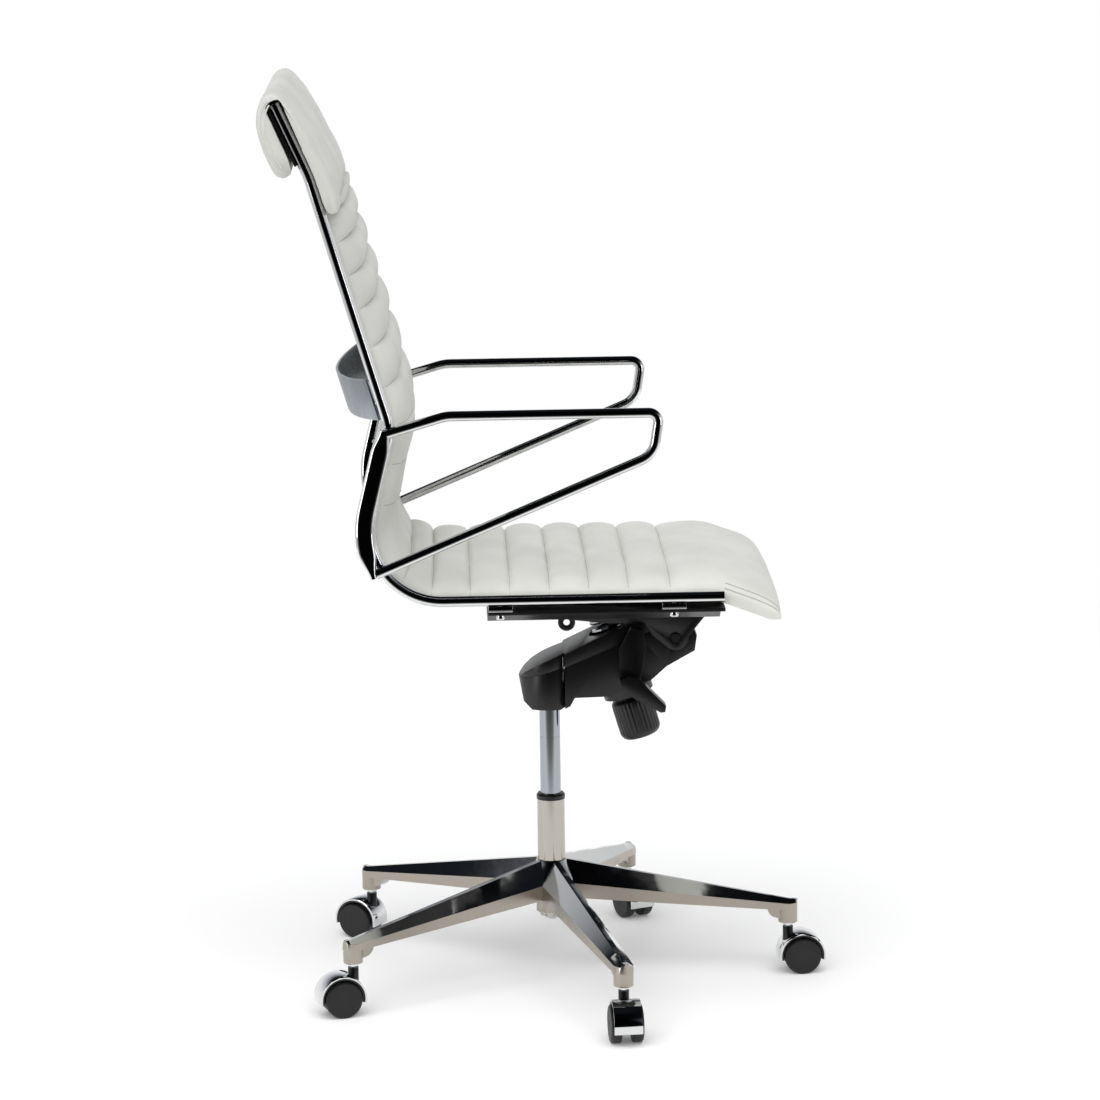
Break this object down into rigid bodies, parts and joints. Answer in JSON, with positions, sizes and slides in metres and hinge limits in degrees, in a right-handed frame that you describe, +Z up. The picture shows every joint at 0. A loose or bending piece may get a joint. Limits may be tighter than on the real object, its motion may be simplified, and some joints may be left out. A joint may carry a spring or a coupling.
{
  "type": "swivel office chair",
  "caption": "High-backed swivel office chair with ribbed leather sling on chromed side rails, loop arms, tilting seat, gas lift and a star base on castors.",
  "frame": {"origin": "on the floor, on the swivel axis", "axes": "+Z up, -Y the way the sitter faces, +X to the sitter's left"},
  "size_m": [0.6786, 0.7364, 1.22],
  "materials": {
    "chrome": "mirror chrome plate",
    "chrome_rail": "mirror chrome plate on an aluminium section",
    "chrome_arm": "mirror polished casting",
    "polished_aluminium": "polished top faces, satin undersides",
    "satin_strap": "satin grey band",
    "steel": "bright zinc plate",
    "black_steel": "black powder coat",
    "black_casting": "black powder coat",
    "black_plastic": "black, soft sheen",
    "black_nylon": "black nylon",
    "leather": "off-white coated leather, fine grain"
  },
  "bodies": {
    "base": {"star_base": "polished_aluminium", "column_tube": "chrome", "guide_bush": "black_plastic", "caster_stems": "chrome", "thrust_bearing": "steel"},
    "column_core": {"piston_rod": "steel", "column_clip": "steel"},
    "lift": {"gas_cylinder": "chrome", "mechanism_housing": "black_casting", "housing_cover": "black_plastic", "rocker_pin": "steel", "tilt_spring": "steel"},
    "pin": {"release_pin": "steel"},
    "rocker": {"release_rocker": "steel"},
    "lever": {"height_lever": "black_plastic"},
    "knob": {"tension_knob": "black_plastic", "tension_bolt": "steel"},
    "spring_seat": {"spring_plate": "steel"},
    "seat": {"pivot_axle": "steel", "tilt_bracket": "black_steel", "bracket_ears": "black_steel", "seat_plate": "black_steel", "rail_blocks": "chrome", "frame_bolts": "chrome", "rail_left": "chrome_rail", "rail_right": "chrome_rail", "arm_left": "chrome_arm", "arm_right": "chrome_arm", "arm_screws": "steel", "back_strap": "satin_strap", "headrest_plate": "black_plastic", "seat_cushion": "leather", "back_cushion": "leather", "headrest": "leather"},
    "caster_1": {"caster_body_1": "black_nylon", "caster_hood_1": "chrome", "caster_axle_1": "steel"},
    "wheel_1a": {"wheel_1a": "black_nylon"},
    "wheel_1b": {"wheel_1b": "black_nylon"},
    "caster_2": {"caster_body_2": "black_nylon", "caster_hood_2": "chrome", "caster_axle_2": "steel"},
    "wheel_2a": {"wheel_2a": "black_nylon"},
    "wheel_2b": {"wheel_2b": "black_nylon"},
    "caster_3": {"caster_body_3": "black_nylon", "caster_hood_3": "chrome", "caster_axle_3": "steel"},
    "wheel_3a": {"wheel_3a": "black_nylon"},
    "wheel_3b": {"wheel_3b": "black_nylon"},
    "caster_4": {"caster_body_4": "black_nylon", "caster_hood_4": "chrome", "caster_axle_4": "steel"},
    "wheel_4a": {"wheel_4a": "black_nylon"},
    "wheel_4b": {"wheel_4b": "black_nylon"},
    "caster_5": {"caster_body_5": "black_nylon", "caster_hood_5": "chrome", "caster_axle_5": "steel"},
    "wheel_5a": {"wheel_5a": "black_nylon"},
    "wheel_5b": {"wheel_5b": "black_nylon"}
  },
  "joints": [
    {"name": "swivel", "type": "hinge", "parent": "base", "child": "column_core", "pos_m": [0, 0, 0.09], "axis": [0, 0, 1], "continuous": true},
    {"name": "height_adjust", "type": "slide", "parent": "column_core", "child": "lift", "axis": [0, 0, 1], "range_m": [-0.08, 0]},
    {"name": "recline", "type": "hinge", "parent": "lift", "child": "seat", "pos_m": [0, -0.168, 0.474], "axis": [-1, 0, 0], "range_deg": [0, 12], "stiffness_Nm_per_rad": 160, "springref_deg": -28.65, "deforming": ["tilt_spring"]},
    {"name": "lever_pull", "type": "hinge", "parent": "lift", "child": "lever", "pos_m": [-0.066, -0.116, 0.476], "axis": [-1, 0, 0], "range_deg": [0, 8], "stiffness_Nm_per_rad": 3, "springref_deg": -8.59},
    {"name": "rocker_turn", "type": "hinge", "parent": "lift", "child": "rocker", "pos_m": [0, 0.022, 0.416], "axis": [1, 0, 0], "range_deg": [0, 9.6]},
    {"name": "pin_travel", "type": "slide", "parent": "lift", "child": "pin", "axis": [0, 0, -1], "range_m": [0, 0.0036]},
    {"name": "tension_turn", "type": "hinge", "parent": "lift", "child": "knob", "pos_m": [0, -0.125, 0.3295], "axis": [0, 0.2857, 0.9583], "range_deg": [0, 1080]},
    {"name": "spring_seat_rise", "type": "slide", "parent": "lift", "child": "spring_seat", "axis": [0, 0.2857, 0.9583], "range_m": [0, 0.0045]},
    {"name": "caster_swivel_1", "type": "hinge", "parent": "base", "child": "caster_1", "pos_m": [-0.01675, -0.31956, 0.05], "axis": [0, 0, 1], "continuous": true},
    {"name": "wheel_roll_1a", "type": "hinge", "parent": "caster_1", "child": "wheel_1a", "pos_m": [-0.01518, -0.33749, 0.025], "axis": [0.9962, 0.0872, 0], "continuous": true},
    {"name": "wheel_roll_1b", "type": "hinge", "parent": "caster_1", "child": "wheel_1b", "pos_m": [-0.01518, -0.33749, 0.025], "axis": [0.9962, 0.0872, 0], "continuous": true},
    {"name": "caster_swivel_2", "type": "hinge", "parent": "base", "child": "caster_2", "pos_m": [-0.3091, -0.08282, 0.05], "axis": [0, 0, 1], "continuous": true},
    {"name": "wheel_roll_2a", "type": "hinge", "parent": "caster_2", "child": "wheel_2a", "pos_m": [-0.32703, -0.08439, 0.025], "axis": [0.0872, -0.9962, 0], "continuous": true},
    {"name": "wheel_roll_2b", "type": "hinge", "parent": "caster_2", "child": "wheel_2b", "pos_m": [-0.32703, -0.08439, 0.025], "axis": [0.0872, -0.9962, 0], "continuous": true},
    {"name": "caster_swivel_3", "type": "hinge", "parent": "base", "child": "caster_3", "pos_m": [-0.17428, 0.26837, 0.05], "axis": [0, 0, 1], "continuous": true},
    {"name": "wheel_roll_3a", "type": "hinge", "parent": "caster_3", "child": "wheel_3a", "pos_m": [-0.17925, 0.28568, 0.025], "axis": [-0.9613, -0.2756, 0], "continuous": true},
    {"name": "wheel_roll_3b", "type": "hinge", "parent": "caster_3", "child": "wheel_3b", "pos_m": [-0.17925, 0.28568, 0.025], "axis": [-0.9613, -0.2756, 0], "continuous": true},
    {"name": "caster_swivel_4", "type": "hinge", "parent": "base", "child": "caster_4", "pos_m": [0.20138, 0.24869, 0.05], "axis": [0, 0, 1], "continuous": true},
    {"name": "wheel_roll_4a", "type": "hinge", "parent": "caster_4", "child": "wheel_4a", "pos_m": [0.21011, 0.26443, 0.025], "axis": [-0.8746, 0.4848, 0], "continuous": true},
    {"name": "wheel_roll_4b", "type": "hinge", "parent": "caster_4", "child": "wheel_4b", "pos_m": [0.21011, 0.26443, 0.025], "axis": [-0.8746, 0.4848, 0], "continuous": true},
    {"name": "caster_swivel_5", "type": "hinge", "parent": "base", "child": "caster_5", "pos_m": [0.29875, -0.11468, 0.05], "axis": [0, 0, 1], "continuous": true},
    {"name": "wheel_roll_5a", "type": "hinge", "parent": "caster_5", "child": "wheel_5a", "pos_m": [0.28243, -0.12229, 0.025], "axis": [0.4226, -0.9063, 0], "continuous": true},
    {"name": "wheel_roll_5b", "type": "hinge", "parent": "caster_5", "child": "wheel_5b", "pos_m": [0.28243, -0.12229, 0.025], "axis": [0.4226, -0.9063, 0], "continuous": true}
  ],
  "couplings": [
    {"joint": "rocker_turn", "follows": "lever_pull", "ratio": 1.2},
    {"joint": "pin_travel", "follows": "lever_pull", "m_per_rad": 0.0257},
    {"joint": "spring_seat_rise", "follows": "tension_turn", "m_per_rad": 0.00023873}
  ]
}
